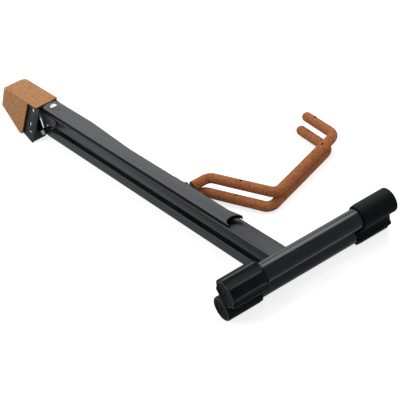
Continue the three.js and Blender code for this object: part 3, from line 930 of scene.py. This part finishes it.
@dataclass
class SheetMetal:
    """Folded and cut sheet pieces, copied from their nodes with bent and deburred edges."""

    bend: float = 2.4 * MM
    deburr: float = 0.35 * MM
    sheet: float = 2 * MM
    clearance: float = 0.3 * MM
    cope_share: float = 0.5
    cope_steps: int = 12
    web_setback: float = 15 * MM
    pin_hole: float = 4.3 * MM
    # Where the painted highlight on the fold crowns goes
    crown: float = 0.42
    crown_end: float = 0.1
    level: float = 0.1 * MM
    plate_edge: float = 0.4 * MM
    hood_edge: float = 0.45 * MM
    lug_edge: float = 0.5 * MM
    bar_fold: float = 1.3 * MM
    bar_edge: float = 0.3 * MM
    bar_level: float = 0.05 * MM
    bar_pivot: float = 8 * MM
    # Faces of the bar that turn less upward than this get painted shade
    bar_shade_below: float = 0.35

    def build(self) -> None:
        """Builds the channels, plates, lugs, saddle and bar."""
        self.rear_channel()
        self.front_channel()
        # The hinge plates get a greyer coat as painted light
        for node in ("hinge_plate_near", "hinge_plate_far"):
            deburred(node, Look.LIT_PLATE, self.plate_edge)
        for node in ("arm_lug_lower", "arm_lug_upper"):
            self.lug(node)
        deburred("hood_bracket", Look.PAINT, self.hood_edge)
        deburred("hood_block", Look.OXIDE, self.plate_edge)
        self.bar()

    def finish_channel(self, node: str, bm: BMesh, body: Body) -> None:
        """Coats a channel, with a painted highlight on the crowns of its long folds.

        Args:
            node: the channel's node.
            bm: its geometry.
            body: what it moves with.
        """

        # The crowns of the long folds get a painted highlight
        def fold_highlit(face: MeshPolygon) -> bool:
            x, y, z = face.normal
            return z > self.crown and abs(x) > self.crown and abs(y) < self.crown_end

        skin(node, bm, Look.PAINT, body, Accent(Look.FOLD_HIGHLIGHT, fold_highlit))

    def front_channel(self) -> None:
        """Rounds the front leg's long folds and cut edges."""
        node = "front_leg_channel"
        bm = copy_of(node)
        low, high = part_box(node)

        def fold(edge: BMEdge) -> bool:
            middle = (edge.verts[0].co + edge.verts[1].co) / 2
            at_side = min(abs(middle.x - low.x), abs(middle.x - high.x)) < self.level
            at_top = abs(middle.z - high.z) < self.level
            return at_side and at_top and sharp(edge) and lengthwise(edge)

        bevel_where(bm, self.bend, 6, fold)
        bevel_where(bm, self.deburr, 2)
        self.finish_channel(node, bm, Body.FRONT)

    def rear_channel(self) -> None:
        """Builds the rear leg: a web with two folds and two flanges of full depth."""
        node = "rear_leg_channel"
        low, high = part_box(node)
        tube = centre_of("rear_foot_tube")
        reach = size_of("rear_foot_tube").z / 2 + self.clearance
        web_end = centre_of("hinge_pin").y - self.web_setback
        loops = self.flange_loops(low, high, reach, web_end)
        bm = bmesh.new()
        plate(bm, loops, low.x, low.x + self.sheet)
        plate(bm, loops, high.x - self.sheet, high.x)
        section = self.web_section(low.x, high.x, high.z)
        loft(bm, [[Vector((x, y, z)) for x, z in section] for y in (tube.y + reach, web_end)])

        def rim(edge: BMEdge) -> bool:
            down = all(abs(v.co.z - low.z) < MERGE for v in edge.verts)
            return down and sharp(edge) and lengthwise(edge)

        bevel_where(bm, self.deburr, 2, rim)
        self.finish_channel(node, bm, Body.REAR)

    def flange_loops(
        self, low: Vector, high: Vector, reach: float, web_end: float
    ) -> tuple[Profile, Profile]:
        """Gives a rear flange seen from the side.

        Args:
            low: the leg's lowest corner.
            high: its highest corner.
            reach: the radius of the cope round the tube.
            web_end: where the web stops before the hinge.

        Returns:
            Its outline and its pin hole, as Y and Z of each point.
        """
        tube, pin = centre_of("rear_foot_tube"), centre_of("hinge_pin")
        fold = high.z - self.bend
        end = high.y - pin.y
        first = -math.acos(self.cope_share)
        last = math.asin((fold - tube.z) / reach)
        top = math.asin((high.z - pin.z) / end)
        bottom = math.asin((low.z - pin.z) / end)
        outline = [
            (tube.y + reach * self.cope_share, low.z),
            *arc(tube.y, tube.z, reach, first, last, self.cope_steps),
            (web_end, fold),
            (web_end, high.z),
            *arc(pin.y, pin.z, end, top, bottom, 2 * self.cope_steps),
        ]
        return outline, arc(pin.y, pin.z, self.pin_hole, 0.0, 4 * QUARTER, 32)[:-1]

    def web_section(self, near: float, far: float, top: float) -> Profile:
        """Gives the section of the web with its folds.

        Args:
            near: X of the near flange's outside.
            far: X of the far flange's outside.
            top: Z of the web's top.

        Returns:
            X and Z of each point.
        """
        left, right = near + self.bend, far - self.bend
        inner = self.bend - self.sheet
        points: Profile = []
        for x, radius, first, last in (
            (left, self.bend, 2, 1),
            (right, self.bend, 1, 0),
            (right, inner, 0, 1),
            (left, inner, 1, 2),
        ):
            points += arc(x, top - self.bend, radius, first * QUARTER, last * QUARTER, 6)
        return points

    def lug(self, node: str) -> None:
        """Builds a lug whose foot ends under the channel's rounded fold.

        Args:
            node: the lug's node.
        """
        bm = copy_of(node)
        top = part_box(node)[1].z
        under_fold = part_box("front_leg_channel")[1].z - self.bend - self.lug_edge
        for vert in bm.verts:
            if abs(vert.co.z - top) < self.level:
                vert.co.z = under_fold
        bevel_where(bm, self.lug_edge, 2)
        skin(node, bm, Look.PAINT, Body.FRONT)

    def bar(self) -> None:
        """Rounds the swing bar's pressed edge and paints shade, a flat black, on its lips and
        inside.
        """
        node = "swing_bar"
        bm = copy_of(node)
        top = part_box(node)[1].z
        pivot = centre_of("bar_rivet")

        def pressed(edge: BMEdge) -> bool:
            high = all(abs(v.co.z - top) < self.bar_level for v in edge.verts)
            near = (edge.verts[0].co - pivot).length < self.bar_pivot
            return high and sharp(edge) and not near

        bevel_where(bm, self.bar_fold, 5, pressed)
        bevel_where(bm, self.bar_edge, 2)
        # Faces that turn away from above get painted shade: a flat black coat
        accent = Accent(Look.SHADED_LIP, lambda face: face.normal.z < self.bar_shade_below)
        skin(node, bm, Look.PAINT, Body.BAR, accent)


@dataclass
class Welds:
    """Rippled weld beads where each leg is coped round its foot tube."""

    pitch: float = 1.7 * MM
    bead: float = 1.3 * MM
    flatness: float = 0.9
    gap: float = 0.3 * MM
    top_share: float = 0.98
    start_turn: float = 0.15
    arc_steps: int = 16
    seed: int = 11

    def build(self) -> None:
        """Lays a bead across each web and one down each flange's cope."""
        values = {"Pitch": self.pitch, "Radius": self.bead, "Flatness": self.flatness}
        values["Seed"] = self.seed
        for leg, body in (("rear", Body.REAR), ("front", Body.FRONT)):
            low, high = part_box(f"{leg}_leg_channel")
            tube = centre_of(f"{leg}_foot_tube")
            reach = size_of(f"{leg}_foot_tube").z / 2 + self.gap
            top = min(high.z, tube.z + reach * self.top_share)
            meet = tube.y + math.sqrt(reach**2 - (top - tube.z) ** 2)
            inset = self.bead * 2
            lines = {"web": [Vector((x, meet, top)) for x in (low.x + inset, high.x - inset)]}
            first = math.asin((top - tube.z) / reach) - self.start_turn
            cope = arc(tube.y, tube.z, reach, first, -QUARTER / 2, self.arc_steps)
            for side, x in (("near", low.x), ("far", high.x)):
                lines[side] = [Vector((x, y, z)) for y, z in cope]
            for where, line in lines.items():
                piece = repeat(f"{leg}_{where}_weld", line, Look.PAINT, values, True)
                dress(piece, body)


@dataclass
class Fasteners:
    """Pins, rivets, bosses and spacers, turned or headed."""

    head_sides: int = 48
    ring_sides: int = 64
    head_round: float = 1.4 * MM
    ring_round: float = 0.7 * MM
    tail_round: float = 0.5 * MM
    tail: float = 1.8 * MM
    tail_radius: float = 4.8 * MM
    dome: float = 3.6 * MM
    dome_shank: float = 3 * MM
    bush_bore: float = 4.1 * MM
    spacer_bore: float = 3.1 * MM

    def build(self) -> None:
        """Builds every fastener; the hood's rivets keep their own shape."""
        self.headed("hinge_pin", Axis.X, shank=4 * MM, head=4.5 * MM)
        self.domed_rivet()
        for node in ("hinge_bush_near", "hinge_bush_far"):
            self.ring(node, Axis.X, self.bush_bore, Look.NYLON, Body.FRONT)
        self.ring("hinge_sleeve", Axis.X, self.bush_bore, Look.STEEL, Body.REAR)
        self.ring("bar_spacer", Axis.Z, self.spacer_bore, Look.STEEL, Body.FRONT)
        for node in ("arm_pin_a", "arm_pin_b"):
            self.headed(node, Axis.Y, shank=3 * MM, head=2 * MM)
        for node in ("arm_lug_rivet_1", "arm_lug_rivet_2"):
            self.headed(node, Axis.X, shank=2 * MM, head=1.6 * MM)
        for node in ("hood_rivet_1", "hood_rivet_2"):
            FRAME["nodes"][node].data.materials.clear()
            FRAME["nodes"][node].data.materials.append(Look.ZINC.material)

    def headed(self, node: str, axis: Axis, shank: float, head: float) -> None:
        """Builds a pin or rivet with a rounded head at each end.

        Args:
            node: the piece's node.
            axis: the direction of its shank.
            shank: the shank's radius.
            head: each head's length.
        """
        size = size_of(node)
        radius = size[(axis.value + 1) % 3] / 2
        half = size[axis.value] / 2
        edge = self.head_round
        profile = [
            (0.0, -half),
            *arc(radius - edge, edge - half, edge, -QUARTER, 0.0, 5),
            (radius, head - half),
            (shank, head - half),
            (shank, half - head),
            (radius, half - head),
            *arc(radius - edge, half - edge, edge, 0.0, QUARTER, 5),
            (0.0, half),
        ]
        bm = lathe(centre_of(node), axis, profile, self.head_sides)
        skin(node, bm, Look.ZINC, Body.FRONT)

    def ring(self, node: str, axis: Axis, bore: float, look: Look, body: Body) -> None:
        """Builds a boss, bush or spacer.

        Args:
            node: the piece's node.
            axis: its direction.
            bore: the hole's radius.
            look: its finish.
            body: what it moves with.
        """
        size = size_of(node)
        outer = size[(axis.value + 1) % 3] / 2
        profile = pipe(bore, outer, size[axis.value] / 2, self.ring_round)
        skin(node, lathe(centre_of(node), axis, profile, self.ring_sides), look, body)

    def domed_rivet(self) -> None:
        """Builds the swing bar's rivet, with its bright dome and closed tail."""
        node = "bar_rivet"
        size = size_of(node)
        radius, half = size.x / 2, size.z / 2
        rise = arc(0.0, 0.0, 1.0, 0.0, QUARTER, 12)[1:-1]
        profile = [
            (0.0, -half),
            (self.tail_radius - self.tail_round, -half),
            (self.tail_radius, self.tail_round - half),
            (self.tail_radius, self.tail - half),
            (self.dome_shank, self.tail - half),
            (self.dome_shank, half - self.dome),
            (radius, half - self.dome),
            *[(radius * r, half - self.dome + self.dome * h) for r, h in rise],
            (0.0, half),
        ]
        bm = lathe(centre_of(node), Axis.Z, profile, self.ring_sides)
        skin(node, bm, Look.ZINC, Body.FRONT)


@dataclass
class HoodCork:
    """The cork sheets glued on the saddle, their cut edges darker."""

    edge: float = 0.8 * MM
    turn: float = 0.75

    def build(self) -> None:
        """Builds the top and both side sheets."""
        cut = Accent(Look.CUT, lambda face: face.normal.y < -self.turn)
        for node in ("hood_cork_top", "hood_cork_near", "hood_cork_far"):
            deburred(node, Look.CORK, self.edge, 3, cut)


@dataclass
class Arm:
    """One bent rod with its eye, in a cork sleeve with a rounded tip.

    Drop, run and tip are the steps of the centre line in X and Y after its stub.
    """

    letter: str
    body: Body
    stub: float
    cork_start: float
    rod: float = 5 * MM
    cork: float = 8.8 * MM
    bore_gap: float = 0.15 * MM
    bore_end: float = 3 * MM
    mouth: float = 0.8 * MM
    eye: float = 6.5 * MM
    eye_half: float = 9.2 * MM
    eye_edge: float = 0.6 * MM
    eye_share: float = 0.8
    eye_sides: int = 64
    pin: float = 3.1 * MM
    rod_end: float = 3.4 * MM
    drop: tuple[float, float] = (42.7 * MM, -138.6 * MM)
    run: tuple[float, float] = (170.9 * MM, 66.9 * MM)
    tip: tuple[float, float] = (10.6 * MM, 101 * MM)
    bends: tuple[float, float, float] = (14 * MM, 12 * MM, 26 * MM)
    sides: int = 48
    crease: float = 60.0
    arc_steps: int = 14
    tip_steps: int = 12
    longest: float = 6 * MM
    lumps: float = 0.12 * MM
    flecks: tuple[tuple[float, float], ...] = ()
    fleck: float = 2.3 * MM
    fleck_flatness: float = 0.65
    seed: int = 5

    def build(self) -> None:
        """Builds the rod, its sleeve and the flecks in the cork."""
        self.build_rod()
        self.build_cork()
        self.build_flecks()

    def stations(self, start: float, cut: float = 0.0) -> list[Vector]:
        """Gives points along the bent centre line.

        Args:
            start: where it starts, from the pin along X.
            cut: how much is taken off at the tip.

        Returns:
            The points, close together in the bends.
        """
        pivot = centre_of(f"arm_pin_{self.letter}")
        points = [pivot + Vector((x, 0, 0)) for x in (start, self.stub)]
        for step in (self.drop, self.run, self.tip):
            points.append(points[-1] + Vector((*step, 0)))
        points[-1] -= (points[-1] - points[-2]).normalized() * cut
        bent = [points[0]]
        for before, here, after, radius in zip(points, points[1:], points[2:], self.bends):
            inward = (here - before).normalized()
            outward = (after - here).normalized()
            turn = inward.angle(outward)
            side = 1.0 if inward.cross(outward).z > 0 else -1.0
            first = here - inward * radius * math.tan(turn / 2)
            middle = first + Vector((-inward.y, inward.x, 0)) * side * radius
            for step in range(self.arc_steps + 1):
                spin = Matrix.Rotation(side * turn * step / self.arc_steps, 3, "Z")
                bent.append(middle + spin @ (first - middle))
        bent.append(points[-1])
        out = [bent[0]]
        for a, b in zip(bent, bent[1:]):
            count = max(1, math.ceil((b - a).length / self.longest))
            out += [a.lerp(b, i / count) for i in range(1, count + 1)]
        return out

    @staticmethod
    def spoke(ahead: Vector, angle: float) -> Vector:
        """Returns the unit vector at an angle round a level direction."""
        return Vector((-ahead.y * math.cos(angle), ahead.x * math.cos(angle), math.sin(angle)))

    def ring_at(self, path: list[Vector], index: int, radius: float, rough: float = 0.0) -> Ring:
        """Makes a ring square to the path.

        Args:
            path: the centre line.
            index: the station.
            radius: the ring's radius.
            rough: how much the radius wanders.

        Returns:
            The ring's points.
        """
        ahead = (path[min(index + 1, len(path) - 1)] - path[max(index - 1, 0)]).normalized()
        ring = []
        for i in range(self.sides):
            angle = 2 * math.pi * i / self.sides
            # Two slow waves that never meet alike, from 0 to 1
            wave = math.sin(3 * angle + index * 0.37) * math.sin(index * 0.9 + 2 * angle)
            reach = radius - rough * (0.5 + 0.5 * wave)
            ring.append(path[index] + self.spoke(ahead, angle) * reach)
        return ring

    def build_cork(self) -> None:
        """Builds the sleeve: bore, rounded mouth, outside and rounded tip."""
        path = self.stations(self.cork_start)
        length = [0.0]
        for a, b in zip(path, path[1:]):
            length.append(length[-1] + (b - a).length)
        full = length[-1] - self.cork
        inner = [i for i, at in enumerate(length) if at < full - self.bore_end]
        outer = [i for i, at in enumerate(length) if self.mouth * 2 < at < full]
        rings = [self.ring_at(path, i, self.rod + self.bore_gap) for i in reversed(inner)]
        rings.append(self.ring_at(path, 0, self.cork - self.mouth))
        shift = (path[1] - path[0]).normalized() * self.mouth
        rings.append([p + shift for p in self.ring_at(path, 0, self.cork)])
        rings += [self.ring_at(path, i, self.cork, self.lumps) for i in outer]
        ahead = (path[-1] - path[-2]).normalized()
        base = path[-1] - ahead * self.cork
        spokes = [self.spoke(ahead, 2 * math.pi * i / self.sides) for i in range(self.sides)]
        for wide, on in arc(0.0, 0.0, self.cork, 0.0, QUARTER, self.tip_steps)[:-1]:
            rings.append([base + ahead * on + spoke * wide for spoke in spokes])
        bm = bmesh.new()
        loft(bm, rings)
        node = f"arm_cork_{self.letter}"
        skin(node, bm, Look.SLEEVE, self.body, crease=self.crease)

    def build_rod(self) -> None:
        """Builds the rod and the eye that turns on the pin."""
        path = self.stations(self.eye * self.eye_share, self.cork + self.rod_end)
        bm = bmesh.new()
        loft(bm, [self.ring_at(path, i, self.rod) for i in range(len(path))])
        skin(f"arm_rod_{self.letter}", bm, Look.PAINT, self.body)
        profile = pipe(self.pin, self.eye, self.eye_half, self.eye_edge)
        eye = lathe(centre_of(f"arm_pin_{self.letter}"), Axis.Y, profile, self.eye_sides)
        piece = new_object(f"arm_eye_{self.letter}", eye, [Look.PAINT.material])
        dress(piece, self.body)

    def build_flecks(self) -> None:
        """Sets the dark bark flecks that show on the sleeve."""
        path = self.stations(self.cork_start)
        places = []
        for left, degrees in self.flecks:
            for a, b in zip(path, path[1:]):
                if left <= (b - a).length:
                    break
                left -= (b - a).length
            ahead = (b - a).normalized()
            outward = self.spoke(ahead, math.radians(degrees))
            places.append(a + ahead * left + outward * self.cork)
        values = {"Radius": self.fleck, "Flatness": self.fleck_flatness, "Seed": self.seed}
        piece = repeat(f"arm_flecks_{self.letter}", places, Look.BARK, values, False)
        dress(piece, self.body)


@dataclass(frozen=True)
class Lamp:
    """A soft round lamp that points at the origin."""

    name: str
    place: tuple[float, float, float]
    size: float
    power: float
    mirrored: bool = True


@dataclass
class Studio:
    """The floor, lights, background and camera."""

    focal_pixels: float = 1400.0
    camera_from_foot: tuple[float, float, float] = (-0.8484, -1.5128, 1.1670)
    right: tuple[float, float, float] = (0.8163, -0.5309, -0.2275)
    down: tuple[float, float, float] = (-0.4469, -0.3308, -0.8312)
    clip: tuple[float, float] = (0.05, 50.0)
    floor_half: float = 6.0
    floor_tone: float = 0.62
    floor_glow: float = 0.75
    floor_shine: float = 0.35
    sky: float = 0.36
    front_shade: float = 0.12
    front_fade: tuple[float, float] = (-0.35, 0.1)
    lamps: tuple[Lamp, ...] = (
        Lamp("overhead", (0.80, 0.05, 2.1), 1.5, 18.0),
        Lamp("back", (0.9, 2.2, 1.9), 1.6, 4.0),
        Lamp("side", (-1.9, 0.9, 1.8), 1.4, 17.0),
        Lamp("front", (0.9, -2.3, 1.6), 1.4, 9.0, False),
    )

    def build(self) -> None:
        """Sets up everything round the object."""
        self.camera()
        self.floor()
        self.world()
        self.lights()
        bpy.context.scene.view_settings.view_transform = "Standard"

    def camera(self) -> None:
        """Places the camera as the photograph was taken."""
        data = bpy.data.cameras.new("camera")
        data.sensor_width = SENSOR_WIDTH
        data.lens = self.focal_pixels / PHOTO_PIXELS * SENSOR_WIDTH
        data.clip_start, data.clip_end = self.clip
        right = Vector(self.right).normalized()
        down = Vector(self.down)
        up = -(down - right * down.dot(right)).normalized()
        turn = Matrix((right, up, right.cross(up))).transposed()
        obj = bpy.data.objects.new("camera", data)
        place = centre_of("rear_foot_tube") + Vector(self.camera_from_foot)
        obj.matrix_world = Matrix.Translation(place) @ turn.to_4x4()
        bpy.context.scene.collection.objects.link(obj)
        bpy.context.scene.camera = obj

    def floor(self) -> None:
        """Lays a pale floor that shows white and keeps a soft shadow."""
        bm = bmesh.new()
        bmesh.ops.create_grid(bm, x_segments=1, y_segments=1, size=self.floor_half)
        material = bpy.data.materials.new("pale_floor")
        tree = empty_tree(material)
        path = add_node(tree, "ShaderNodeLightPath", {})
        seen = {"operation": "MULTIPLY", 0: path["Is Camera Ray"], 1: self.floor_glow}
        glow = {"Strength": add_node(tree, "ShaderNodeMath", seen)["Value"]}
        tone = (self.floor_tone, self.floor_tone, self.floor_tone, 1.0)
        lit = {
            0: add_node(tree, "ShaderNodeBsdfDiffuse", {"Color": tone})["BSDF"],
            1: add_node(tree, "ShaderNodeEmission", glow)["Emission"],
        }
        glass = {"operation": "MAXIMUM", 0: path["Is Glossy Ray"], 1: path["Is Transmission Ray"]}
        both = {
            0: add_node(tree, "ShaderNodeMath", glass)["Value"],
            1: add_node(tree, "ShaderNodeAddShader", lit)["Shader"],
            2: add_node(tree, "ShaderNodeEmission", {"Strength": self.floor_shine})["Emission"],
        }
        surface = add_node(tree, "ShaderNodeMixShader", both)["Shader"]
        add_node(tree, "ShaderNodeOutputMaterial", {"Surface": surface})
        new_object("floor", bm, [material])

    def world(self) -> None:
        """Lights the object evenly, shows white behind it and dims the photographer's side."""
        world = bpy.data.worlds.new("studio")
        tree = empty_tree(world)
        path = add_node(tree, "ShaderNodeLightPath", {})
        heading = add_node(tree, "ShaderNodeTexCoord", {})["Generated"]
        parts = add_node(tree, "ShaderNodeSeparateXYZ", {"Vector": heading})
        fade = {"interpolation_type": "SMOOTHSTEP", "Value": parts["Y"]}
        fade |= {"From Min": self.front_fade[0], "From Max": self.front_fade[1]}
        side = add_node(tree, "ShaderNodeMapRange", {**fade, "To Min": self.front_shade})
        strength = path["Is Glossy Ray"]
        for kind, other in (
            ("MAXIMUM", path["Is Transmission Ray"]),
            ("MULTIPLY", side["Result"]),
            ("MAXIMUM", path["Is Camera Ray"]),
            ("MAXIMUM", self.sky),
        ):
            pair = {"operation": kind, 0: strength, 1: other}
            strength = add_node(tree, "ShaderNodeMath", pair)["Value"]
        white = {"Color": (1.0, 1.0, 1.0, 1.0), "Strength": strength}
        back = add_node(tree, "ShaderNodeBackground", white)["Background"]
        add_node(tree, "ShaderNodeOutputWorld", {"Surface": back})
        bpy.context.scene.world = world

    def lights(self) -> None:
        """Hangs the soft lamps."""
        for lamp in self.lamps:
            data = bpy.data.lights.new(lamp.name, "AREA")
            data.shape = "DISK"
            data.size = lamp.size
            data.energy = lamp.power
            obj = bpy.data.objects.new(lamp.name, data)
            obj.location = lamp.place
            obj.visible_glossy = lamp.mirrored
            obj.rotation_euler = (-Vector(lamp.place)).to_track_quat("-Z", "Y").to_euler()
            bpy.context.scene.collection.objects.link(obj)


def main() -> None:
    """Builds the studio and the stand."""
    logging.basicConfig(level=logging.INFO, format="%(name)s %(message)s")
    FRAME.update(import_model())
    Studio().build()
    Feet().build()
    SheetMetal().build()
    Welds().build()
    Fasteners().build()
    HoodCork().build()
    # Each fleck's way along its sleeve, and its angle round it in degrees
    upper = ((103.1 * MM, 90.0), (416.8 * MM, 105.0), (310.8 * MM, 105.0))
    lower = ((82.7 * MM, 95.0), (394.5 * MM, 100.0))
    Arm("a", Body.ARM_A, 41.7 * MM, 7.5 * MM, flecks=upper).build()
    Arm("b", Body.ARM_B, 32.4 * MM, 21.55 * MM, flecks=lower, seed=9).build()


if __name__ == "__main__":
    main()
